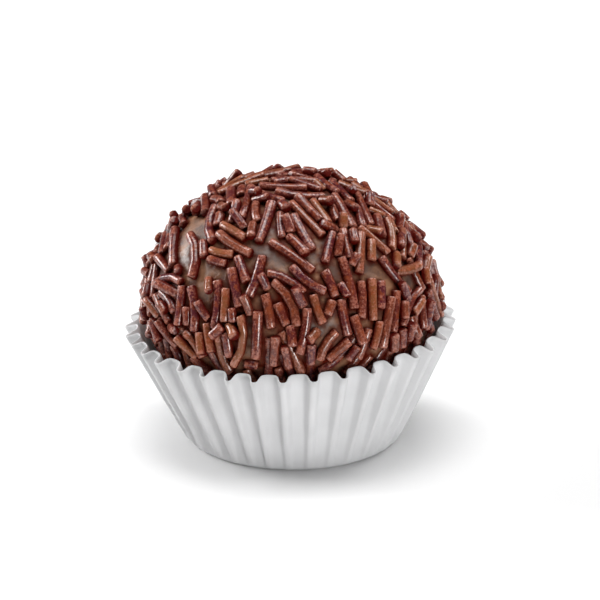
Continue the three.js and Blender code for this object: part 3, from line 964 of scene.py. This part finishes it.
# %% Extrude the paper
def case_mesh():
    paper = bmesh.new()
    ring = bmesh.ops.create_circle(paper, cap_ends=True, segments=len(turns), radius=1)["verts"]
    edges = paper.edges[:]
    ring_of = {vert: 0 for vert in ring}
    for row in range(1, len(case_rings)):
        edges, ring = next_ring(paper, edges)
        ring_of.update((vert, row) for vert in ring)
    for vert, row in ring_of.items():
        turn = math.atan2(vert.co.y, vert.co.x)
        k = round(turn / (2 * math.pi) * len(turns)) % len(turns)
        vert.co = case_rings[row][k] * MM
    bmesh.ops.recalc_face_normals(paper, faces=paper.faces)
    for face in paper.faces:
        face.smooth = True
    return as_mesh(paper, "paper_sheet")


paper_skin = case_mesh()
print("paper has", len(paper_skin.vertices), "points before it is thickened")

# %% [markdown]
# ### The finish of the paper
# Greaseproof paper is white, matt and a little cloudy, with fine fibres in its surface. It could be
# one plain colour, but the broad, even pleats would then look moulded. Two noises of different size
# give the cloud and the fibres.

# %% Finish the paper
PAPER_GREY = linear(205, 205, 206)
PAPER_WHITE = linear(216, 216, 217)


def paper_finish():
    finish = Finish("paper")
    place = finish.place()
    fibres = finish.noise(place, size=0.35, detail=4.0, roughness=0.7)
    cloud = finish.noise(place, size=5.0, detail=2.0)
    sockets = {
        "Base Color": finish.mix(finish.ramp(cloud, start=0.3, end=0.7), PAPER_GREY, PAPER_WHITE),
        "Roughness": 0.55 + 0.2 * fibres,
        "Normal": finish.bump(fibres, depth=0.02),
    }
    finish.fill(finish.shader, sockets)
    return finish.material


paper_sheet = finished("paper_sheet", paper_skin, "paper_case", paper_finish())

# %% Give the paper its thickness
SHEET = 0.12  # mm, as real paper is thinner than the packed case

thickness = paper_sheet.modifiers.new("thickness", "SOLIDIFY")
thickness.thickness = SHEET * MM
thickness.offset = -1
print("paper is", round(thickness.thickness / MM, 2), "mm thick")

# %% [markdown]
# ## Table and light
# A pale table and soft lights show the form without hard shadows. The main light is a wide panel
# overhead. A strong one, low at the left and a little behind, draws out the sprinkles, a small one
# behind the right side gives them an edge, and a low one in front lights the paper's pleats. The
# studio around them is nearly dark, so that the shadows keep their depth.

# %% Lay the table
TABLE_HALF = 1.5  # metres, half of the table's width
TABLE_PAINT = linear(245, 245, 245)


def lay_table():
    table = bmesh.new()
    bmesh.ops.create_grid(table, x_segments=2, y_segments=2, size=TABLE_HALF)
    mesh = as_mesh(table, "table")
    piece = bpy.data.objects.new("table", mesh)
    scene.collection.objects.link(piece)
    finish = Finish("table")
    finish.fill(finish.shader, {"Base Color": TABLE_PAINT, "Roughness": 0.7})
    mesh.materials.append(finish.material)


lay_table()
print("table is", 2 * TABLE_HALF, "m wide")

# %% Hang the lights
STUDIO_GLOW = 0.02  # strength of the even light that comes from all round


def panel(name, azimuth, elevation, distance, width, height, power):
    """A soft light that faces the sweet.

    The angles are in degrees, with azimuth 0 in front and 90 at the right, and the elevation
    counted up from the table. The lengths are in metres and the power is in watts.
    """
    data = bpy.data.lights.new(name, "AREA")
    data.shape = "RECTANGLE"
    data.size, data.size_y, data.energy = width, height, power
    light = bpy.data.objects.new(name, data)
    scene.collection.objects.link(light)
    turn, rise = math.radians(azimuth), math.radians(elevation)
    flat = math.cos(rise)
    way = Vector((math.sin(turn) * flat, -math.cos(turn) * flat, math.sin(rise)))
    light.location = MIDDLE + way * distance
    light.rotation_mode = "QUATERNION"
    light.rotation_quaternion = way.to_track_quat("Z", "Y")
    print(name, "hangs", round(light.location.z / MM), "mm over the table")


panel("top light", azimuth=180, elevation=88, distance=0.45, width=0.34, height=0.34, power=2.1)
panel("left light", azimuth=-113, elevation=22, distance=0.45, width=0.28, height=0.18, power=1.75)
panel("right light", azimuth=122, elevation=38, distance=0.4, width=0.14, height=0.14, power=0.45)
panel("front light", azimuth=30, elevation=5, distance=0.6, width=0.22, height=0.12, power=1.5)
world = bpy.data.worlds.new("studio")
scene.world = world
world.use_nodes = True
world.node_tree.nodes["Background"].inputs["Color"].default_value = (1, 1, 1, 1)
world.node_tree.nodes["Background"].inputs["Strength"].default_value = STUDIO_GLOW
